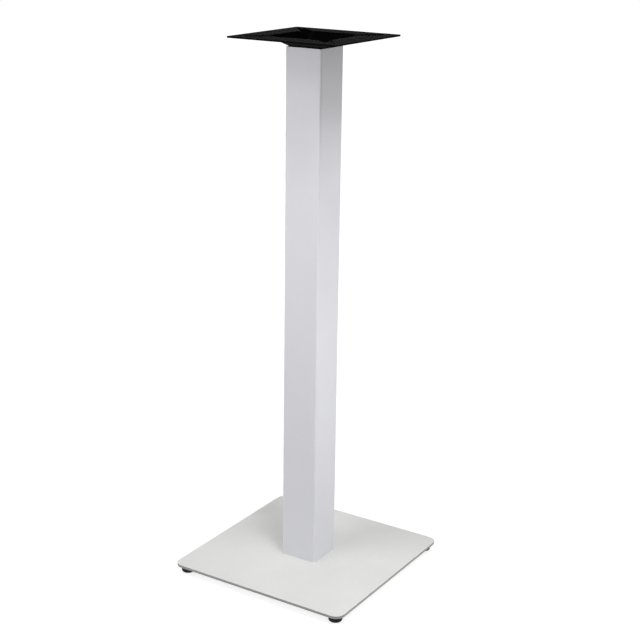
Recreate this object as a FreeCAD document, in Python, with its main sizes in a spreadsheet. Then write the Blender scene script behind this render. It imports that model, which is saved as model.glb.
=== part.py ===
"""Square pedestal leg for a bar-height table.

A heavy square base plate on four adjustable glides carries a square tube column. A threaded tie
rod runs up the middle of the column and clamps the base plate, the column and a pressed square
top plate together. The table top is screwed to the rim of the top plate.

The frame is in millimetres, +Z up, with the origin on the floor in the middle of the base.
Every size is kept in the sheet below, and each piece takes its sizes and its place from it.
"""
import FreeCAD, Part
import math
import os
import re

import Sketcher

DRIVING_SIZES = {
    # base plate
    "base_side": 406.0,
    "base_thickness": 6.0,
    "base_corner_radius": 20.0,
    "base_edge_round": 0.8,
    # adjustable glides under the base plate
    "foot_height": 15.0,
    "foot_inset": 22.0,
    "foot_diameter": 28.0,
    "foot_plate_gap": 1.5,
    "foot_sole": 3.0,
    "foot_sole_round": 4.5,
    "foot_rim_round": 1.0,
    "foot_cup_clearance": 1.5,
    "boss_diameter": 14.0,
    "boss_length": 9.5,
    "boss_weld_leg": 1.4,
    "stud_diameter": 8.0,
    "stud_seat_depth": 2.0,
    "stud_tip_gap": 1.5,
    "stud_chamfer": 0.8,
    "thread_clearance": 0.05,
    # column
    "column_side": 80.0,
    "column_wall": 2.0,
    "column_corner_radius": 3.5,
    "column_length": 1059.0,
    "locator_thickness": 5.0,
    "locator_clearance": 0.4,
    "head_plate_thickness": 4.0,
    "head_plate_clearance": 0.2,
    # tie rod and its fasteners
    "rod_diameter": 12.0,
    "rod_hole_clearance": 0.5,
    "rod_chamfer": 1.0,
    "rod_end_above_nut": 2.0,
    "rod_end_below_nut": 0.8,
    "nut_width": 18.0,
    "nut_height": 6.0,
    "nut_chamfer": 1.2,
    "washer_diameter": 37.0,
    "washer_thickness": 3.0,
    # pressed top plate
    "plate_side": 240.0,
    "plate_thickness": 3.0,
    "plate_corner_radius": 5.0,
    "dish_rise": 17.0,
    "dish_mouth": 138.0,
    "dish_mouth_radius": 26.0,
    "spigot_side": 74.0,
    "spigot_corner_radius": 5.0,
    "spigot_neck": 1.0,
    "spigot_depth": 5.0,
    "channel_width": 29.0,
    "channel_floor": 11.0,
    "channel_depth": 6.0,
    "channel_runout_width": 17.0,
    "channel_runout_floor": 9.0,
    "channel_runout_depth": 0.5,
    "channel_hole_land": 5.75,
    "bend_inside": 2.0,
    "bend_outside": 3.5,
    "screw_hole": 7.0,
    "corner_hole_inset": 18.0,
    "side_hole_inset": 20.0,
}

FOOT_CORNERS = {"front": (1, -1), "right": (1, 1), "back": (-1, 1), "left": (-1, -1)}

doc = FreeCAD.newDocument("TableLeg")
sheet = doc.addObject("Spreadsheet::Sheet", "Sizes")


def fill_sheet():
    """One row for each driving size: its name, its value in millimetres and its alias."""
    for row, (alias, value) in enumerate(DRIVING_SIZES.items(), start=1):
        sheet.set(f"A{row}", alias.replace("_", " "))
        sheet.set(f"B{row}", str(value))
        sheet.setAlias(f"B{row}", alias)
    doc.recompute()


def size(text):
    """Turn 'base_side / 2' into an expression that reads the sheet, such as 'Sizes.base_side / 2'."""
    def in_sheet(match):
        word = match.group()
        return f"Sizes.{word}" if word in DRIVING_SIZES else word

    return re.sub(r"[a-z_]+", in_sheet, text)


def number(text):
    """The present value of a size expression, as a plain number."""
    return float(sheet.evalExpression(size(text)))


# Levels above the floor and sizes that several pieces share

BASE_UNDERSIDE = "foot_height"
BASE_TOP = "(foot_height + base_thickness)"
COLUMN_TOP = "(foot_height + base_thickness + column_length)"
COLUMN_INSIDE = "(column_side - 2 * column_wall)"
COLUMN_INSIDE_RADIUS = "max(column_corner_radius - column_wall ; 0.5)"
ROD_HOLE = "(rod_diameter + 2 * rod_hole_clearance)"
DISH_FLOOR_TOP = "(plate_thickness - spigot_depth)"

# The pressed dish, measured from the mouth of the column: the slope of its wall, and how far the
# inner face of that wall lies inside the outer one, so that the sheet has one thickness

DISH_SLOPE = "((dish_mouth - spigot_side) / 2 / (dish_rise - spigot_neck))"
DISH_WALL_SHIFT = f"(plate_thickness * sqrt(1 + {DISH_SLOPE} ^ 2))"
DISH_INNER_FOOT = f"(spigot_neck + ({DISH_WALL_SHIFT} - plate_thickness) / {DISH_SLOPE})"
DISH_INNER_MOUTH = f"(dish_mouth + 2 * ({DISH_SLOPE} * plate_thickness - {DISH_WALL_SHIFT}))"
RIM_TOP = "(dish_rise + plate_thickness)"

# The flanks of the diagonal channels lean, so the outer skin is this much wider on each side. A
# channel starts inside the dish, and its floor rises to a runout, a named land short of the corner
# screw hole.

CHANNEL_LEAN = "((channel_width - channel_floor) / 2 / channel_depth)"
CHANNEL_GROWTH = f"(plate_thickness * (sqrt(1 + {CHANNEL_LEAN} ^ 2) - {CHANNEL_LEAN}))"
CORNER_HOLE = "(plate_side / 2 - corner_hole_inset)"
CHANNEL_RUNOUT = f"(sqrt(2) * {CORNER_HOLE} - screw_hole / 2 - channel_hole_land)"
CHANNEL_START = (
    f"(sqrt(2) * (spigot_side / 2 + {DISH_SLOPE} * ({RIM_TOP} - channel_depth - spigot_neck)"
    f" - {DISH_WALL_SHIFT}) - (sqrt(2) - 1) * spigot_corner_radius - channel_floor / 2)"
)


def new_body(label):
    body = doc.addObject("PartDesign::Body", label)
    body.Label = label
    return body


def place(piece, x="0", y="0", z="0"):
    """Bind the place of a piece to the sheet."""
    piece.setExpression("Placement.Base.x", size(x))
    piece.setExpression("Placement.Base.y", size(y))
    piece.setExpression("Placement.Base.z", size(z))


def sketch_on(body, role, name, height="0"):
    """A sketch on one of the body's own origin planes, moved along the plane's normal."""
    plane = next(item for item in body.Origin.OriginFeatures if item.Role == role)
    sketch = body.newObject("Sketcher::SketchObject", name)
    sketch.AttachmentSupport = [(plane, "")]
    sketch.MapMode = "FlatFace"
    sketch.setExpression("AttachmentOffset.Base.z", size(height))
    return sketch


def sketch_across_diagonal(body, name, distance):
    """A sketch across the +X +Y diagonal, at a distance from the middle. Its Y axis points up."""
    sketch = sketch_on(body, "XZ_Plane", name)
    turn = FreeCAD.Rotation(FreeCAD.Vector(0, 1, 0), 135)
    sketch.AttachmentOffset = FreeCAD.Placement(FreeCAD.Vector(), turn)
    sketch.setExpression("AttachmentOffset.Base.x", size(f"{distance} * sin(135 deg)"))
    sketch.setExpression("AttachmentOffset.Base.z", size(f"{distance} * cos(135 deg)"))
    return sketch


def constrain(sketch, name, kind, *arguments):
    """Add a dimension whose value, the last argument, is a size expression."""
    *geometry, text = arguments
    index = sketch.addConstraint(Sketcher.Constraint(kind, *geometry, number(text)))
    sketch.renameConstraint(index, name)
    sketch.setExpression(f"Constraints.{name}", size(text))


def draw_rounded_square(sketch, side, radius, tag="square"):
    """A square round the origin with four equal corner arcs, fully constrained."""
    half = number(side) / 2
    corner = number(radius)
    flat = half - corner
    first = sketch.GeometryCount
    quarter = math.pi / 2
    ends = [((-flat, -half), (flat, -half)), ((half, -flat), (half, flat)),
            ((flat, half), (-flat, half)), ((-half, flat), (-half, -flat))]
    for (x1, y1), (x2, y2) in ends:
        sketch.addGeometry(Part.LineSegment(FreeCAD.Vector(x1, y1), FreeCAD.Vector(x2, y2)))
    centres = [(flat, -flat), (flat, flat), (-flat, flat), (-flat, -flat)]
    for index, (x, y) in enumerate(centres):
        circle = Part.Circle(FreeCAD.Vector(x, y), FreeCAD.Vector(0, 0, 1), corner)
        start = (index - 1) * quarter
        sketch.addGeometry(Part.ArcOfCircle(circle, start, start + quarter))
    for index in range(4):
        line = first + index
        arc = first + 4 + index
        following = first + (index + 1) % 4
        sketch.addConstraint(Sketcher.Constraint("Tangent", line, 2, arc, 1))
        sketch.addConstraint(Sketcher.Constraint("Tangent", arc, 2, following, 1))
        sketch.addConstraint(Sketcher.Constraint("Vertical" if index % 2 else "Horizontal", line))
        if index:
            sketch.addConstraint(Sketcher.Constraint("Equal", first + 4, arc))
    sketch.addConstraint(Sketcher.Constraint("Symmetric", first, 1, first + 2, 1, -1, 1))
    constrain(sketch, f"{tag}_radius", "Radius", first + 4, radius)
    constrain(sketch, f"{tag}_width", "DistanceX", first + 3, 1, first + 1, 1, side)
    constrain(sketch, f"{tag}_depth", "DistanceY", first, 1, first + 2, 1, side)


def draw_circle(sketch, diameter, x="0", y="0", tag="circle"):
    """A circle at a place given by size expressions."""
    centre = FreeCAD.Vector(number(x), number(y))
    circle = Part.Circle(centre, FreeCAD.Vector(0, 0, 1), number(diameter) / 2)
    index = sketch.addGeometry(circle)
    if x == "0" and y == "0":
        sketch.addConstraint(Sketcher.Constraint("Coincident", index, 3, -1, 1))
    else:
        place_point(sketch, index, 3, x, y, tag)
    constrain(sketch, f"{tag}_diameter", "Diameter", index, diameter)


def place_point(sketch, geometry, point, x, y, tag):
    """Hold one point of a sketch at two size expressions measured from the origin."""
    if x == "0":
        sketch.addConstraint(Sketcher.Constraint("PointOnObject", geometry, point, -2))
    else:
        constrain(sketch, f"{tag}_x", "DistanceX", -1, 1, geometry, point, x)
    if y == "0":
        sketch.addConstraint(Sketcher.Constraint("PointOnObject", geometry, point, -1))
    else:
        constrain(sketch, f"{tag}_y", "DistanceY", -1, 1, geometry, point, y)


def draw_profile(sketch, points):
    """A closed outline of straight lines through points given as pairs of size expressions."""
    vectors = [FreeCAD.Vector(number(x), number(y)) for x, y in points]
    count = len(points)
    for index in range(count):
        sketch.addGeometry(Part.LineSegment(vectors[index], vectors[(index + 1) % count]))
    for index in range(count):
        sketch.addConstraint(Sketcher.Constraint("Coincident", index, 2, (index + 1) % count, 1))
    for index, (x, y) in enumerate(points):
        place_point(sketch, index, 1, x, y, f"point_{index}")


def draw_hexagon(sketch, across_flats):
    """A regular hexagon round the origin, with one corner on the X axis."""
    corner_circle = f"(2 * {across_flats} / sqrt(3))"
    radius = number(corner_circle) / 2
    corners = []
    for index in range(6):
        angle = index * math.pi / 3
        corners.append(FreeCAD.Vector(radius * math.cos(angle), radius * math.sin(angle)))
    first = sketch.GeometryCount
    for index in range(6):
        sketch.addGeometry(Part.LineSegment(corners[index], corners[(index + 1) % 6]))
    circle = sketch.addGeometry(Part.Circle(FreeCAD.Vector(), FreeCAD.Vector(0, 0, 1), radius), True)
    sketch.addConstraint(Sketcher.Constraint("Coincident", circle, 3, -1, 1))
    for index in range(6):
        line = first + index
        sketch.addConstraint(Sketcher.Constraint("Coincident", line, 2, first + (index + 1) % 6, 1))
        sketch.addConstraint(Sketcher.Constraint("PointOnObject", line, 1, circle))
        if index:
            sketch.addConstraint(Sketcher.Constraint("Equal", first, line))
    sketch.addConstraint(Sketcher.Constraint("PointOnObject", first, 1, -1))
    constrain(sketch, "corner_circle", "Diameter", circle, corner_circle)


def pad(body, sketch, length, name="pad", downward=False):
    feature = body.newObject("PartDesign::Pad", name)
    feature.Profile = sketch
    feature.Reversed = downward
    feature.setExpression("Length", size(length))
    sketch.Visibility = False
    doc.recompute()
    return feature


def require_cut(body, volume_before, name):
    """Stop if a cut left the body as it was."""
    if body.Shape.Volume > volume_before - 0.001:
        raise RuntimeError(f"{body.Label}: {name} removes nothing")


def pocket(body, sketch, length, name="pocket", upward=False):
    """Cut downwards from the sketch, or upwards if so told."""
    volume_before = body.Shape.Volume
    feature = body.newObject("PartDesign::Pocket", name)
    feature.Profile = sketch
    feature.Reversed = upward
    feature.setExpression("Length", size(length))
    doc.recompute()
    require_cut(body, volume_before, name)
    return feature


def revolve(body, sketch, name="turned"):
    feature = body.newObject("PartDesign::Revolution", name)
    feature.Profile = sketch
    feature.ReferenceAxis = (sketch, ["V_Axis"])
    feature.Angle = 360
    doc.recompute()
    return feature


def loft(body, kind, sketches, name):
    """A straight-sided loft through the sketches. kind is Additive or Subtractive."""
    volume_before = body.Shape.Volume if body.Tip else 0.0
    feature = body.newObject(f"PartDesign::{kind}Loft", name)
    feature.Profile = sketches[0]
    feature.Sections = sketches[1:]
    feature.Ruled = True
    feature.Closed = False
    doc.recompute()
    if kind == "Subtractive":
        require_cut(body, volume_before, name)
    return feature


def repeat_round(body, feature, count, name):
    """Repeat a feature evenly about the body's Z axis."""
    axis = next(item for item in body.Origin.OriginFeatures if item.Role == "Z_Axis")
    volume_before = body.Shape.Volume
    pattern = body.newObject("PartDesign::PolarPattern", name)
    pattern.Originals = [feature]
    pattern.Axis = (axis, [""])
    pattern.Angle = 360
    pattern.Occurrences = count
    body.Tip = pattern
    doc.recompute()
    if abs(body.Shape.Volume - volume_before) < 0.001:
        raise RuntimeError(f"{body.Label}: {name} repeats nothing")
    return pattern


def edge_names(shape, wanted):
    """Names of the edges for which wanted(edge) holds."""
    return [f"Edge{index}" for index, edge in enumerate(shape.Edges, start=1) if wanted(edge)]


def dress(body, kind, wanted, amount, name):
    """A Fillet or a Chamfer on the edges of the tip that wanted(edge) picks."""
    base = body.Tip
    names = edge_names(base.Shape, wanted)
    if not names:
        raise RuntimeError(f"{body.Label}: {name} finds no edge")
    feature = body.newObject(f"PartDesign::{kind}", name)
    feature.Base = (base, names)
    feature.setExpression("Radius" if kind == "Fillet" else "Size", size(amount))
    doc.recompute()
    return feature


def reach(edge):
    """How far the edge gets out from the middle, along X or Y."""
    box = edge.BoundBox
    return max(abs(box.XMin), abs(box.XMax), abs(box.YMin), abs(box.YMax))


def is_upright(edge):
    return edge.BoundBox.ZLength > 1e-4


def lies_flat_at(edge, level):
    """True for an edge that lies wholly at one height."""
    return not is_upright(edge) and abs(edge.BoundBox.ZMin - level) < 1e-4


# Base plate: laser-cut steel, with rounded corners and a hole for the tie rod

def make_base_plate():
    body = new_body("base_plate")
    outline = sketch_on(body, "XY_Plane", "base_outline")
    draw_rounded_square(outline, "base_side", "base_corner_radius")
    pad(body, outline, "base_thickness", "base_sheet")
    hole = sketch_on(body, "XY_Plane", "rod_hole_outline", "base_thickness")
    draw_circle(hole, ROD_HOLE)
    pocket(body, hole, "base_thickness", "rod_hole")
    hole_reach = number(ROD_HOLE)
    dress(body, "Fillet", lambda edge: reach(edge) > hole_reach and not is_upright(edge),
          "base_edge_round", "softened_edges")
    place(body, z=BASE_UNDERSIDE)


# Column: a cold-formed square tube, open at both ends

def make_column():
    body = new_body("column_tube")
    outline = sketch_on(body, "XY_Plane", "tube_section")
    draw_rounded_square(outline, "column_side", "column_corner_radius", "outside")
    draw_rounded_square(outline, COLUMN_INSIDE, COLUMN_INSIDE_RADIUS, "inside")
    pad(body, outline, "column_length", "tube")
    place(body, z=BASE_TOP)


def make_square_washer(label, side, thickness, level):
    """A square plate with rounded corners and a hole for the tie rod."""
    body = new_body(label)
    outline = sketch_on(body, "XY_Plane", f"{label}_outline")
    draw_rounded_square(outline, side, "column_corner_radius")
    draw_circle(outline, ROD_HOLE)
    pad(body, outline, thickness, f"{label}_sheet")
    place(body, z=level)


# Locator: a square welded to the base plate, over which the foot of the column slides

def make_locator():
    side = f"({COLUMN_INSIDE} - 2 * locator_clearance)"
    make_square_washer("column_locator", side, "locator_thickness", BASE_TOP)


# Head plate: a square welded inside the mouth of the column, on which the dish of the top plate sits

def make_head_plate():
    side = f"({COLUMN_INSIDE} - 2 * head_plate_clearance)"
    level = f"({COLUMN_TOP} - spigot_depth - head_plate_thickness)"
    make_square_washer("column_head_plate", side, "head_plate_thickness", level)


# Top plate: one pressed steel sheet. A square dish sinks from the flat rim to a straight-sided
# spigot in the mouth of the column, and a channel runs from each corner of the dish to a corner
# of the sheet. It is built as the outer skin less the inner one, a sheet's thickness apart.
# Its own zero level is the mouth of the column.

def draw_channel_section(sketch, width, floor, depth, top, bottom_level, growth):
    """Half-hexagon section of a channel: wide at the top, with a narrow flat floor."""
    half_width = f"({width} / 2 + {growth})"
    half_floor = f"({floor} / 2 + {growth})"
    lean = f"(({width} - {floor}) / 2 / {depth})"
    overshoot = f"({half_width} + {lean} * ({top} - {bottom_level} - {depth}))"
    draw_profile(sketch, [
        (f"-1 * {half_floor}", bottom_level),
        (half_floor, bottom_level),
        (overshoot, top),
        (f"-1 * {overshoot}", top),
    ])


def add_channel_skin(body, kind, top, surface, growth):
    """One diagonal channel, from inside the dish to its shallow outer end, and its three copies."""
    sheet_behind = "plate_thickness" if kind == "Additive" else "0"
    stations = [
        ("start", CHANNEL_START, "channel_width", "channel_floor", "channel_depth"),
        ("runout", f"({CHANNEL_RUNOUT} + {sheet_behind})", "channel_runout_width",
         "channel_runout_floor", "channel_runout_depth"),
    ]
    sections = []
    for name, distance, width, floor, depth in stations:
        sketch = sketch_across_diagonal(body, f"{kind}_channel_{name}", distance)
        bottom_level = f"({surface} - {depth})"
        draw_channel_section(sketch, width, floor, depth, top, bottom_level, growth)
        sections.append(sketch)
    channel = loft(body, kind, sections, f"{kind}_channel")
    repeat_round(body, channel, 4, f"{kind}_channels")


def add_dish_skin(body, kind, mouth, mouth_level, mouth_radius, foot, foot_level, foot_radius):
    """The sloping walls of the dish, between two rounded squares."""
    upper = sketch_on(body, "XY_Plane", f"{kind}_dish_mouth", mouth_level)
    draw_rounded_square(upper, mouth, mouth_radius)
    lower = sketch_on(body, "XY_Plane", f"{kind}_dish_foot", foot_level)
    draw_rounded_square(lower, foot, foot_radius)
    loft(body, kind, [upper, lower], f"{kind}_dish")


def bend(body, level, radius, name):
    """Round the loop of edges where the sheet is bent at one level, and leave its outline sharp."""
    height = number(level)
    outline = number("plate_side / 2 - plate_corner_radius")
    dress(body, "Fillet", lambda edge: lies_flat_at(edge, height) and reach(edge) < outline,
          radius, name)


def make_top_plate():
    body = new_body("top_plate")
    spigot_inside = "(spigot_side - 2 * plate_thickness)"
    spigot_inside_radius = "max(spigot_corner_radius - plate_thickness ; 0.5)"
    mouth_radius_inside = "max(dish_mouth_radius - plate_thickness ; 0.5)"

    rim = sketch_on(body, "XY_Plane", "rim_outline", "dish_rise")
    draw_rounded_square(rim, "plate_side", "plate_corner_radius")
    pad(body, rim, "plate_thickness", "rim")
    add_dish_skin(body, "Additive", "dish_mouth", "dish_rise", "dish_mouth_radius",
                  "spigot_side", "spigot_neck", "spigot_corner_radius")
    neck = sketch_on(body, "XY_Plane", "spigot_outline", "-1 * spigot_depth")
    draw_rounded_square(neck, "spigot_side", "spigot_corner_radius")
    pad(body, neck, "(spigot_depth + spigot_neck)", "spigot")
    bend(body, "dish_rise", "bend_inside", "rim_bend_below")
    bend(body, "spigot_neck", "bend_inside", "neck_bend_below")
    bend(body, "-1 * spigot_depth", "bend_outside", "spigot_bend_below")
    inside_sheet = "(dish_rise + plate_thickness / 2)"
    add_channel_skin(body, "Additive", inside_sheet, "dish_rise", CHANNEL_GROWTH)

    add_dish_skin(body, "Subtractive", DISH_INNER_MOUTH, RIM_TOP, mouth_radius_inside,
                  spigot_inside, DISH_INNER_FOOT, spigot_inside_radius)
    well = sketch_on(body, "XY_Plane", "well_outline", DISH_INNER_FOOT)
    draw_rounded_square(well, spigot_inside, spigot_inside_radius)
    pocket(body, well, f"({DISH_INNER_FOOT} - {DISH_FLOOR_TOP})", "well")
    bend(body, RIM_TOP, "bend_outside", "rim_bend_above")
    bend(body, DISH_INNER_FOOT, "bend_outside", "neck_bend_above")
    bend(body, DISH_FLOOR_TOP, "bend_inside", "spigot_bend_above")
    add_channel_skin(body, "Subtractive", RIM_TOP, RIM_TOP, "0")

    rod_hole = sketch_on(body, "XY_Plane", "rod_hole_outline", DISH_FLOOR_TOP)
    draw_circle(rod_hole, ROD_HOLE)
    pocket(body, rod_hole, "plate_thickness", "rod_hole")
    corner_outline = sketch_on(body, "XY_Plane", "corner_hole_outline", RIM_TOP)
    draw_circle(corner_outline, "screw_hole", CORNER_HOLE, CORNER_HOLE)
    corner_hole = pocket(body, corner_outline, "plate_thickness", "corner_hole")
    repeat_round(body, corner_hole, 4, "corner_holes")
    side_outline = sketch_on(body, "XY_Plane", "side_hole_outline", RIM_TOP)
    draw_circle(side_outline, "screw_hole", "(plate_side / 2 - side_hole_inset)", "0")
    side_hole = pocket(body, side_outline, "plate_thickness", "side_hole")
    repeat_round(body, side_hole, 4, "side_holes")
    place(body, z=COLUMN_TOP)


# Tie rod, nuts and washers that clamp the top plate, the column and the base plate together

ROD_BOTTOM = f"({BASE_UNDERSIDE} - washer_thickness - nut_height - rod_end_below_nut)"
DISH_FLOOR_LEVEL = f"({COLUMN_TOP} + {DISH_FLOOR_TOP})"
ROD_TOP = f"({DISH_FLOOR_LEVEL} + washer_thickness + nut_height + rod_end_above_nut)"


def make_rod(label, diameter, length, chamfer, level, x="0", y="0"):
    """A plain round bar, with a chamfer on each end. Its fine thread is left out."""
    body = new_body(label)
    outline = sketch_on(body, "XY_Plane", f"{label}_outline")
    draw_circle(outline, diameter)
    pad(body, outline, length, f"{label}_bar")
    dress(body, "Chamfer", lambda edge: not is_upright(edge), chamfer, f"{label}_ends")
    place(body, x, y, level)


def make_tie_rod():
    make_rod("tie_rod", "rod_diameter", f"({ROD_TOP} - {ROD_BOTTOM})", "rod_chamfer", ROD_BOTTOM)


def make_washer(label, level):
    body = new_body(label)
    outline = sketch_on(body, "XY_Plane", f"{label}_outline")
    draw_circle(outline, "washer_diameter", tag="outside")
    draw_circle(outline, ROD_HOLE, tag="inside")
    pad(body, outline, "washer_thickness", f"{label}_sheet")
    place(body, z=level)


def make_nut(label, level):
    """A thin hexagon nut: a turned blank with chamfered corners, cut to six flats."""
    body = new_body(label)
    bore = "(rod_diameter / 2 + thread_clearance)"
    blank = "(nut_width / sqrt(3))"
    neck = f"({blank} - nut_chamfer)"
    slope = "(nut_chamfer * tan(30 deg))"
    section = sketch_on(body, "XZ_Plane", f"{label}_section")
    draw_profile(section, [
        (bore, "0"), (neck, "0"), (blank, slope), (blank, f"(nut_height - {slope})"),
        (neck, "nut_height"), (bore, "nut_height"),
    ])
    revolve(body, section, f"{label}_blank")
    flats = sketch_on(body, "XY_Plane", f"{label}_flats", "nut_height")
    draw_circle(flats, "(2 * nut_width)", tag="outside")
    draw_hexagon(flats, "nut_width")
    pocket(body, flats, "nut_height", f"{label}_hexagon")
    place(body, z=level)


def make_clamp_fasteners():
    make_washer("top_washer", DISH_FLOOR_LEVEL)
    make_nut("top_nut", f"({DISH_FLOOR_LEVEL} + washer_thickness)")
    make_washer("bottom_washer", f"({BASE_UNDERSIDE} - washer_thickness)")
    make_nut("bottom_nut", f"({BASE_UNDERSIDE} - washer_thickness - nut_height)")


# Glides: a plastic cup with a steel stud in its sole screws into a boss under the base plate

def foot_place(corner):
    """Size expressions for the middle of the glide at one corner of the base."""
    right, back = FOOT_CORNERS[corner]
    from_middle = "(base_side / 2 - foot_inset)"
    return f"{right} * {from_middle}", f"{back} * {from_middle}"


def make_foot_boss(corner):
    """A threaded ring with a weld bead round its root. Its own zero level is its lower end."""
    body = new_body(f"foot_boss_{corner}")
    bore = "(stud_diameter / 2 + thread_clearance)"
    wall = "(boss_diameter / 2)"
    bead = f"({wall} + boss_weld_leg)"
    section = sketch_on(body, "XZ_Plane", f"boss_section_{corner}")
    draw_profile(section, [
        (bore, "0"), (wall, "0"), (wall, "(boss_length - boss_weld_leg)"),
        (bead, "boss_length"), (bore, "boss_length"),
    ])
    revolve(body, section, f"boss_{corner}")
    x, y = foot_place(corner)
    place(body, x, y, f"({BASE_UNDERSIDE} - boss_length)")


def make_foot_pad(corner):
    """A moulded cup that hides the boss, with a rounded sole and a blind seat for the stud."""
    body = new_body(f"foot_pad_{corner}")
    outside = "(foot_diameter / 2)"
    inside = "(boss_diameter / 2 + boss_weld_leg + foot_cup_clearance)"
    seat = "(stud_diameter / 2)"
    rim = "(foot_height - foot_plate_gap)"
    seat_floor = "(foot_sole - stud_seat_depth)"
    section = sketch_on(body, "XZ_Plane", f"pad_section_{corner}")
    draw_profile(section, [
        ("0", "0"), (outside, "0"), (outside, rim), (inside, rim), (inside, "foot_sole"),
        (seat, "foot_sole"), (seat, seat_floor), ("0", seat_floor),
    ])
    revolve(body, section, f"pad_{corner}")
    edge_radius = number(outside)
    top_level = number(rim)
    dress(body, "Fillet", lambda edge: lies_flat_at(edge, 0) and reach(edge) > edge_radius - 0.01,
          "foot_sole_round", f"pad_sole_round_{corner}")
    dress(body, "Fillet",
          lambda edge: lies_flat_at(edge, top_level) and reach(edge) > edge_radius - 0.01,
          "foot_rim_round", f"pad_rim_round_{corner}")
    x, y = foot_place(corner)
    place(body, x, y)


def make_foot_stud(corner):
    seat_floor = "(foot_sole - stud_seat_depth)"
    x, y = foot_place(corner)
    length = f"(foot_height - stud_tip_gap - {seat_floor})"
    make_rod(f"foot_stud_{corner}", "stud_diameter", length, "stud_chamfer", seat_floor, x, y)


def make_all():
    fill_sheet()
    make_base_plate()
    make_locator()
    make_column()
    make_head_plate()
    make_top_plate()
    make_tie_rod()
    make_clamp_fasteners()
    for corner in FOOT_CORNERS:
        make_foot_boss(corner)
        make_foot_pad(corner)
        make_foot_stud(corner)
    doc.recompute()


def check_all():
    """Stop if any object has failed or any piece isn't one valid solid."""
    for item in doc.Objects:
        if "Invalid" in item.State or "Error" in item.State:
            raise RuntimeError(f"{item.Label} has failed: {item.State}")
    pieces = [item for item in doc.Objects if item.TypeId == "PartDesign::Body"]
    for piece in pieces:
        shape = piece.Shape
        if shape.isNull() or not shape.isValid() or len(shape.Solids) != 1:
            raise RuntimeError(f"{piece.Label} isn't one valid solid")
    return pieces


def write_pieces(pieces):
    os.makedirs("parts", exist_ok=True)
    for piece in pieces:
        piece.Shape.exportStep(f"parts/{piece.Label}.step")
        volume = piece.Shape.Volume / 1000.0
        print(f"{piece.Label}: {volume:.1f} cubic centimetres")


make_all()
write_pieces(check_all())
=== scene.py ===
"""Looks of a white pedestal table leg with a black top plate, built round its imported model."""
import bpy
import math

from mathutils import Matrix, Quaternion, Vector

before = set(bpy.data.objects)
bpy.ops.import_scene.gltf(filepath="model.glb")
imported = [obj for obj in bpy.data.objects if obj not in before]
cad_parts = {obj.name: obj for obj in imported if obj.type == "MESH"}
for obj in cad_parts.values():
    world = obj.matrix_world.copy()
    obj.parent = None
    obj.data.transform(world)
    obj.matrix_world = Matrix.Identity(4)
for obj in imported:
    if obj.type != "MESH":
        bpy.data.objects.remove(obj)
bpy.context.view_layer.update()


# Base plate: a square of 6 mm steel, laser cut with rounded corners and a softened rim, and powder
# coated satin white. It stands on its four glides and carries the column in its middle.

MM = 0.001
ORANGE_PEEL = 2.5 * MM          # real cells are about 1 mm, drawn coarser so that they show
PEEL_DEPTH = 0.15 * MM
PEEL_RELIEF = 0.4
PEEL_SHADE = 0.16               # how far the deepest hollows go towards the painted shade's hue
HOLLOW_NOISE = (0.3, 0.6)       # noise values where the painted shade in the hollows is deepest and where it ends
FILM_PATCH = 70 * MM
PATCH_NOISE = (0.3, 0.7)        # between these lie most values of a noise texture
SATIN = (0.40, 0.50)            # roughness of the glossiest and of the dullest patch
POLYESTER_IOR = 1.5
RIM_SHADE_SPAN = (0.3, 0.85)           # share of up or down in a face: up to here the rim's full painted shade, from here flat side


def linear_colour(code):
    """An sRGB hex value, such as E4E4E6, as the linear colour that a shader takes."""
    channels = [int(code[place:place + 2], 16) / 255 for place in (0, 2, 4)]
    return [c / 12.92 if c <= 0.04045 else ((c + 0.055) / 1.055) ** 2.4 for c in channels] + [1.0]


def add_node(tree, kind, inputs=None, **settings):
    """Add a node, set its options, and give its inputs values or links."""
    node = tree.nodes.new(kind)
    for option, value in settings.items():
        setattr(node, option, value)
    for socket, value in (inputs or {}).items():
        if isinstance(value, bpy.types.NodeSocket):
            tree.links.new(value, node.inputs[socket])
        else:
            node.inputs[socket].default_value = value
    return node


def new_finish(name):
    """An empty material, and its node tree."""
    finish = bpy.data.materials.new(name)
    finish.use_nodes = True
    finish.node_tree.nodes.clear()
    return finish, finish.node_tree


def cover(node_name, finish):
    """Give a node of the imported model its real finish."""
    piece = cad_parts[node_name]
    piece.data.materials.clear()
    piece.data.materials.append(finish)


def upward(tree):
    """How far a surface looks up: 1 on top, 0 on an upright side and -1 underneath."""
    facing = add_node(tree, "ShaderNodeTexCoord").outputs["Normal"]
    return add_node(tree, "ShaderNodeSeparateXYZ", {"Vector": facing}).outputs["Z"]


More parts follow.
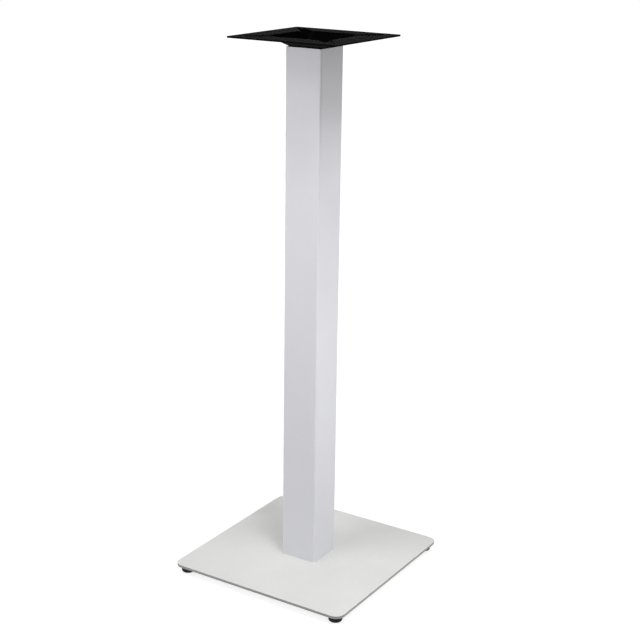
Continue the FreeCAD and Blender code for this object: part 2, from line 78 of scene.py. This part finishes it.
def powder_film(tree, full, thin, painted_hollow_shade):
    """Colour, roughness and surface of baked powder, from its hues: full, thin, and painted shade
    in the peel's hollows.
    """
    place = add_node(tree, "ShaderNodeTexCoord").outputs["Object"]
    patches = add_node(tree, "ShaderNodeTexNoise",
                       {"Vector": place, "Scale": 1 / FILM_PATCH, "Detail": 3.0})
    colour = add_node(tree, "ShaderNodeMix",
                      {0: patches.outputs["Fac"], 6: linear_colour(full), 7: linear_colour(thin)},
                      data_type="RGBA")
    gloss = add_node(tree, "ShaderNodeMapRange",
                     {"Value": patches.outputs["Fac"], "From Min": PATCH_NOISE[0],
                      "From Max": PATCH_NOISE[1], "To Min": SATIN[0], "To Max": SATIN[1]})
    peel = add_node(tree, "ShaderNodeTexNoise",
                    {"Vector": place, "Scale": 1 / ORANGE_PEEL, "Detail": 1.5})
    bumps = add_node(tree, "ShaderNodeBump", {"Height": peel.outputs["Fac"],
                                              "Strength": PEEL_RELIEF, "Distance": PEEL_DEPTH})
    # Painted shade: the orange peel's hollows are darkened towards the shade hue.
    painted_peel_shade = add_node(tree, "ShaderNodeMapRange",
                       {"Value": peel.outputs["Fac"], "From Min": HOLLOW_NOISE[0],
                        "From Max": HOLLOW_NOISE[1], "To Min": PEEL_SHADE, "To Max": 0.0})
    colour_with_peel_shade = add_node(tree, "ShaderNodeMix",
                      {0: painted_peel_shade.outputs["Result"], 6: colour.outputs[2],
                       7: linear_colour(painted_hollow_shade)}, data_type="RGBA")
    return colour_with_peel_shade.outputs[2], gloss.outputs["Result"], bumps.outputs["Normal"]


# Powder coat: a hard, slightly uneven polyester film with a fine orange peel, which spreads
# highlights and dulls a little in patches. Its upright rim is painted darker: painted shade for
# the edge, which takes less light than the top.

plate_coat, tree = new_finish("satin_white_powder_coat_on_cut_plate")
# The third hue is painted shade for the orange peel's hollows.
colour, gloss, surface = powder_film(tree, "E9EAE7", "E4E5E2", "CDCECB")
flat = add_node(tree, "ShaderNodeMath", {0: upward(tree)}, operation="ABSOLUTE")
painted_rim_shade = add_node(tree, "ShaderNodeMapRange",
               {"Value": flat.outputs["Value"], "From Min": RIM_SHADE_SPAN[0], "From Max": RIM_SHADE_SPAN[1],
                "To Min": 1.0, "To Max": 0.0})
# Painted shade: the upright rim is coloured dark grey, as if it took less light.
colour_with_rim_shade = add_node(tree, "ShaderNodeMix",
                 {0: painted_rim_shade.outputs["Result"], 6: colour, 7: linear_colour("A2A4A0")},
                 data_type="RGBA")
film = add_node(tree, "ShaderNodeBsdfPrincipled",
                {"Base Color": colour_with_rim_shade.outputs[2], "Roughness": gloss, "IOR": POLYESTER_IOR,
                 "Normal": surface})
add_node(tree, "ShaderNodeOutputMaterial", {"Surface": film.outputs["BSDF"]})

cover("base_plate", plate_coat)


# Glides: a moulded black polyethylene cup round a zinc-plated M8 stud at each corner. The stud
# screws into a threaded boss that is welded under the base plate and coated white with it.

CORNERS = ("front", "right", "back", "left")
MOULD_GRAIN = 0.6 * MM
GRAIN_DEPTH = 0.05 * MM
GRAIN_RELIEF = 0.3
SCUFF = 6 * MM
MOULDED_ROUGHNESS = 0.6
PLASTIC_SHINE = 0.25
POLYETHYLENE_IOR = 1.51

# Polyethylene: black right through and matt from its mould, so it soaks up light, with a fine
# grain and faint scuffs.

plastic, tree = new_finish("black_moulded_polyethylene")
place = add_node(tree, "ShaderNodeTexCoord").outputs["Object"]
grain = add_node(tree, "ShaderNodeTexNoise",
                 {"Vector": place, "Scale": 1 / MOULD_GRAIN, "Detail": 2.0})
bumps = add_node(tree, "ShaderNodeBump", {"Height": grain.outputs["Fac"],
                                          "Strength": GRAIN_RELIEF, "Distance": GRAIN_DEPTH})
scuffs = add_node(tree, "ShaderNodeTexNoise",
                  {"Vector": place, "Scale": 1 / SCUFF, "Detail": 4.0})
colour = add_node(tree, "ShaderNodeMix",
                  {0: scuffs.outputs["Fac"], 6: linear_colour("030304"),
                   7: linear_colour("09090A")}, data_type="RGBA")
moulding = add_node(tree, "ShaderNodeBsdfPrincipled",
                    {"Base Color": colour.outputs[2], "Roughness": MOULDED_ROUGHNESS,
                     "IOR": POLYETHYLENE_IOR, "Specular IOR Level": PLASTIC_SHINE,
                     "Normal": bumps.outputs["Normal"]})
add_node(tree, "ShaderNodeOutputMaterial", {"Surface": moulding.outputs["BSDF"]})

ZINC_PATCH = 3 * MM
BRIGHT_ZINC = (0.22, 0.42)      # roughness of the clear and of the cloudy patches
STUD_PITCH = 1.25 * MM          # M8
RIDGE_HEIGHT = 0.4              # of a thread, as a share of its pitch


def zinc_film(tree):
    """Colour and roughness of bright zinc plate, with its faint clouds."""
    place = add_node(tree, "ShaderNodeTexCoord").outputs["Object"]
    cloud = add_node(tree, "ShaderNodeTexNoise",
                     {"Vector": place, "Scale": 1 / ZINC_PATCH, "Detail": 3.0})
    colour = add_node(tree, "ShaderNodeMix",
                      {0: cloud.outputs["Fac"], 6: linear_colour("C4C7CB"),
                       7: linear_colour("B4B4AE")}, data_type="RGBA")
    gloss = add_node(tree, "ShaderNodeMapRange",
                     {"Value": cloud.outputs["Fac"], "To Min": BRIGHT_ZINC[0],
                      "To Max": BRIGHT_ZINC[1]})
    return colour.outputs[2], gloss.outputs["Result"]


def rolled_thread(name, pitch):
    """Zinc plate over a rolled thread, whose ridges stand a pitch apart along the axis."""
    finish, tree = new_finish(name)
    colour, gloss = zinc_film(tree)
    place = add_node(tree, "ShaderNodeTexCoord").outputs["Object"]
    # A wave texture of scale s repeats every pi / (10 s).
    ridges = add_node(tree, "ShaderNodeTexWave",
                      {"Vector": place, "Scale": math.pi / (10 * pitch)},
                      bands_direction="Z", wave_profile="TRI")
    flanks = add_node(tree, "ShaderNodeBump", {"Height": ridges.outputs["Fac"], "Strength": 1.0,
                                               "Distance": RIDGE_HEIGHT * pitch})
    plating = add_node(tree, "ShaderNodeBsdfPrincipled",
                       {"Base Color": colour, "Metallic": 1.0, "Roughness": gloss,
                        "Normal": flanks.outputs["Normal"]})
    add_node(tree, "ShaderNodeOutputMaterial", {"Surface": plating.outputs["BSDF"]})
    return finish


stud_zinc = rolled_thread("bright_zinc_on_m8_thread", STUD_PITCH)

for corner in CORNERS:
    cover(f"foot_boss_{corner}", plate_coat)
    cover(f"foot_pad_{corner}", plastic)
    cover(f"foot_stud_{corner}", stud_zinc)


# Column: 80 mm square tube of 2 mm steel, stood over a square locator that is welded to the base
# plate, with a plate welded in its mouth. The drawn tube takes a smooth, even film of the same
# satin white. Its hue is painted a touch cooler than the base's, as painted light: the cooler
# light that falls on its upright faces.

tube_coat, tree = new_finish("satin_white_powder_coat_on_drawn_tube")
# The third hue is painted shade for the orange peel's hollows.
colour, gloss, surface = powder_film(tree, "E7E7EC", "E3E3E8", "CDCDD2")
film = add_node(tree, "ShaderNodeBsdfPrincipled",
                {"Base Color": colour, "Roughness": gloss, "IOR": POLYESTER_IOR,
                 "Normal": surface})
add_node(tree, "ShaderNodeOutputMaterial", {"Surface": film.outputs["BSDF"]})

for node_name in ("column_locator", "column_tube", "column_head_plate"):
    cover(node_name, tube_coat)


# Top plate: one sheet of 3 mm steel, pressed to a square dish with a channel out to each corner,
# punched for the screws, and dipped in black stoving paint.

PRESSED_EDGE = 1.5 * MM         # over this radius the sheen turns round each bent edge
PAINT_MARK = 14 * MM
PAINT_PEEL = 2 * MM
PAINT_PEEL_DEPTH = 0.1 * MM
PAINT_RELIEF = 0.12
PAINT_SHEEN = (0.22, 0.28)      # roughness on top, between its clearest and its dullest marks
PAINT_MATT = 1.0                # roughness of the sides and underneath
TOP_FACE = 0.3                  # share of up from which a face has the whole sheen
PAINT_SHINE = 0.1
ENAMEL_IOR = 1.5

# Stoving paint: thin and nearly black, so it shows its shape by a weak satin sheen, strongest
# where the eye looks along it, and on its bent edges. The plate hung face up to dry, so the paint
# came out matt on the sides and underneath.

paint, tree = new_finish("black_stoving_paint")
place = add_node(tree, "ShaderNodeTexCoord").outputs["Object"]
marks = add_node(tree, "ShaderNodeTexNoise",
                 {"Vector": place, "Scale": 1 / PAINT_MARK, "Detail": 4.0})
colour = add_node(tree, "ShaderNodeMix",
                  {0: marks.outputs["Fac"], 6: linear_colour("010101"),
                   7: linear_colour("030303")}, data_type="RGBA")
sheen = add_node(tree, "ShaderNodeMapRange",
                 {"Value": marks.outputs["Fac"], "To Min": PAINT_SHEEN[0],
                  "To Max": PAINT_SHEEN[1]})
gloss = add_node(tree, "ShaderNodeMapRange",
                 {"Value": upward(tree), "From Min": 0.0, "From Max": TOP_FACE,
                  "To Min": PAINT_MATT, "To Max": sheen.outputs["Result"]})
bent_edges = add_node(tree, "ShaderNodeBevel", {"Radius": PRESSED_EDGE}, samples=6)
peel = add_node(tree, "ShaderNodeTexNoise",
                {"Vector": place, "Scale": 1 / PAINT_PEEL, "Detail": 1.0})
bumps = add_node(tree, "ShaderNodeBump",
                 {"Height": peel.outputs["Fac"], "Strength": PAINT_RELIEF,
                  "Distance": PAINT_PEEL_DEPTH, "Normal": bent_edges.outputs["Normal"]})
enamel = add_node(tree, "ShaderNodeBsdfPrincipled",
                  {"Base Color": colour.outputs[2], "Roughness": gloss.outputs["Result"],
                   "IOR": ENAMEL_IOR, "Specular IOR Level": PAINT_SHINE,
                   "Normal": bumps.outputs["Normal"]})
add_node(tree, "ShaderNodeOutputMaterial", {"Surface": enamel.outputs["BSDF"]})

cover("top_plate", paint)


# Tie rod, washers and nuts: zinc-plated M12 steel that clamps the top plate, the column and the
# base plate together. Only its ends show, in the dish and under the base plate: smooth bright
# washers and nuts, and the rod's ridged thread.

ROD_PITCH = 1.75 * MM           # M12

zinc, tree = new_finish("bright_zinc_plate")
colour, gloss = zinc_film(tree)
plating = add_node(tree, "ShaderNodeBsdfPrincipled",
                   {"Base Color": colour, "Metallic": 1.0, "Roughness": gloss})
add_node(tree, "ShaderNodeOutputMaterial", {"Surface": plating.outputs["BSDF"]})

for node_name in ("top_washer", "top_nut", "bottom_washer", "bottom_nut"):
    cover(node_name, zinc)
cover("tie_rod", rolled_thread("bright_zinc_on_m12_thread", ROD_PITCH))


# Studio floor: a pale disc that looks white and still keeps the leg's shadow. It is clear from
# below, so that the underside of the leg can be seen.

FLOOR_RADIUS = 14.0
FLOOR_GLOW = 0.78               # with the lamps' own light on the floor this comes to white
FLOOR_FILL = 0.10               # what the floor's glow gives to the surfaces above it
LAMPLIT_RADIUS = 0.5            # beyond it the lamps' light fades, and the glow takes over
WHITE = linear_colour("FFFFFF")

bpy.ops.object.select_all(action="DESELECT")
bpy.ops.mesh.primitive_circle_add(vertices=96, radius=FLOOR_RADIUS, fill_type="NGON")
floor = bpy.context.object
floor.name = "studio_floor"


def add_seen_rays(tree):
    """1 where the camera, a reflection or a refraction looks, and 0 for light on a surface."""
    ray = add_node(tree, "ShaderNodeLightPath")
    mirrored = add_node(tree, "ShaderNodeMath",
                        {0: ray.outputs["Is Glossy Ray"], 1: ray.outputs["Is Transmission Ray"]},
                        operation="MAXIMUM")
    seen = add_node(tree, "ShaderNodeMath",
                    {0: ray.outputs["Is Camera Ray"], 1: mirrored.outputs["Value"]},
                    operation="MAXIMUM")
    return seen.outputs["Value"]


floor_finish, tree = new_finish("pale_studio_floor")
place = add_node(tree, "ShaderNodeTexCoord").outputs["Object"]
radius = add_node(tree, "ShaderNodeVectorMath", {0: place}, operation="LENGTH").outputs["Value"]
glow = add_node(tree, "ShaderNodeMapRange",
                {"Value": radius, "From Min": LAMPLIT_RADIUS, "From Max": 3 * LAMPLIT_RADIUS,
                 "To Min": FLOOR_GLOW, "To Max": 1.0}, interpolation_type="SMOOTHSTEP")
strength = add_node(tree, "ShaderNodeMix",
                    {0: add_seen_rays(tree), 2: FLOOR_FILL, 3: glow.outputs["Result"]})
lit = add_node(tree, "ShaderNodeBsdfDiffuse", {"Color": linear_colour("A8A8A8")})
own = add_node(tree, "ShaderNodeEmission", {"Color": WHITE, "Strength": strength.outputs[0]})
above = add_node(tree, "ShaderNodeAddShader", {0: lit.outputs["BSDF"], 1: own.outputs["Emission"]})
below = add_node(tree, "ShaderNodeBsdfTransparent")
side = add_node(tree, "ShaderNodeNewGeometry").outputs["Backfacing"]
sheet = add_node(tree, "ShaderNodeMixShader",
                 {0: side, 1: above.outputs["Shader"], 2: below.outputs["BSDF"]})
add_node(tree, "ShaderNodeOutputMaterial", {"Surface": sheet.outputs["Shader"]})
floor.data.materials.append(floor_finish)


# Studio surround: the camera sees white all round. Reflections see white only low down, under a
# dark ceiling, which keeps the black paint black and lets its rims show against its dish.

HORIZON = (-0.02, 0.085)        # height in the view from which the white fades, and where it ends
CEILING_LEVEL = 0.004
SURROUND_FILL = 0.25            # what the surround gives to the surfaces

world = bpy.data.worlds.new("studio_surround")
bpy.context.scene.world = world
world.use_nodes = True
tree = world.node_tree
tree.nodes.clear()
ray = add_node(tree, "ShaderNodeLightPath")
direction = add_node(tree, "ShaderNodeTexCoord").outputs["Generated"]
height = add_node(tree, "ShaderNodeSeparateXYZ", {"Vector": direction}).outputs["Z"]
backdrop = add_node(tree, "ShaderNodeMapRange",
                    {"Value": height, "From Min": HORIZON[0], "From Max": HORIZON[1],
                     "To Min": 1.0, "To Max": CEILING_LEVEL},
                    interpolation_type="SMOOTHSTEP").outputs["Result"]
mirrored = add_node(tree, "ShaderNodeMix", {0: ray.outputs["Is Camera Ray"], 2: backdrop, 3: 1.0})
shown = add_node(tree, "ShaderNodeBackground", {"Color": WHITE, "Strength": mirrored.outputs[0]})
fill = add_node(tree, "ShaderNodeBackground", {"Color": WHITE, "Strength": SURROUND_FILL})
mixed = add_node(tree, "ShaderNodeMixShader",
                 {0: add_seen_rays(tree), 1: fill.outputs["Background"],
                  2: shown.outputs["Background"]})
add_node(tree, "ShaderNodeOutputWorld", {"Surface": mixed.outputs["Shader"]})


# Lamps: a weak one overhead for the dish, three small ones in front that cast the column's shadows
# on the base, two fills for the column's faces, and three low ones behind for the far half of the
# base. Those stay below the top plate, so that its rims reflect none of them.

def add_softbox(name, side, watts, azimuth, elevation, distance, height):
    """A square lamp that points at the leg's axis, at a height. Azimuth 0 is square in front."""
    lamp_data = bpy.data.lights.new(name, "AREA")
    lamp_data.shape = "SQUARE"
    lamp_data.size = side
    lamp_data.energy = watts
    lamp = bpy.data.objects.new(name, lamp_data)
    bpy.context.scene.collection.objects.link(lamp)
    turn, lift = math.radians(azimuth), math.radians(elevation)
    away = Vector((math.sin(turn) * math.cos(lift), -math.cos(turn) * math.cos(lift),
                   math.sin(lift)))
    lamp.location = Vector((0, 0, height)) + away * distance
    lamp.rotation_euler = away.to_track_quat("Z", "Y").to_euler()
    lamp.visible_camera = False


# name, side (m), power (W), azimuth and elevation (degrees), distance and height (m)
add_softbox("overhead_softbox", 2.0, 5.0, 0, 90, 2.4, 0.5)
add_softbox("front_softbox", 0.4, 11.4, 48, 69, 2.6, 0.3)
add_softbox("front_right_softbox", 0.4, 9.4, 60, 66, 2.6, 0.3)
add_softbox("front_left_softbox", 0.4, 4.5, -40, 50, 2.6, 0.3)
add_softbox("left_fill", 0.6, 5.4, -20, 5, 1.2, 0.735)
add_softbox("right_fill", 0.5, 1.87, 85, 3, 0.62, 0.45)
add_softbox("back_right_fill", 0.5, 4.2, 165, 0, 2.0, 0.45)
add_softbox("back_fill", 0.6, 3.15, 215, 0, 2.0, 0.7)
add_softbox("back_left_fill", 0.5, 7.9, 262, 0, 2.0, 0.45)


# Camera: where the photograph was taken from, 2.7 m away with a lens of 76 mm, as the straight
# edges in the photograph give it.

CAMERA_AZIMUTH = math.radians(32.29)
CAMERA_ELEVATION = math.radians(17.67)
CAMERA_ROLL = math.radians(0.85)
CAMERA_DISTANCE = 2.7317
CAMERA_AIM = Vector((0.0149, 0.0094, 0.5365))
CAMERA_LENS = 76.34             # mm, with a sensor 36 mm wide

camera_data = bpy.data.cameras.new("photo_camera")
camera_data.sensor_width = 36.0
camera_data.lens = CAMERA_LENS
camera = bpy.data.objects.new("photo_camera", camera_data)
bpy.context.scene.collection.objects.link(camera)
bpy.context.scene.camera = camera
back = Vector((math.sin(CAMERA_AZIMUTH) * math.cos(CAMERA_ELEVATION),
               -math.cos(CAMERA_AZIMUTH) * math.cos(CAMERA_ELEVATION),
               math.sin(CAMERA_ELEVATION)))
camera.location = CAMERA_AIM + back * CAMERA_DISTANCE
camera.rotation_mode = "QUATERNION"
camera.rotation_quaternion = back.to_track_quat("Z", "Y") @ Quaternion((0, 0, 1), CAMERA_ROLL)

bpy.context.scene.view_settings.view_transform = "Standard"
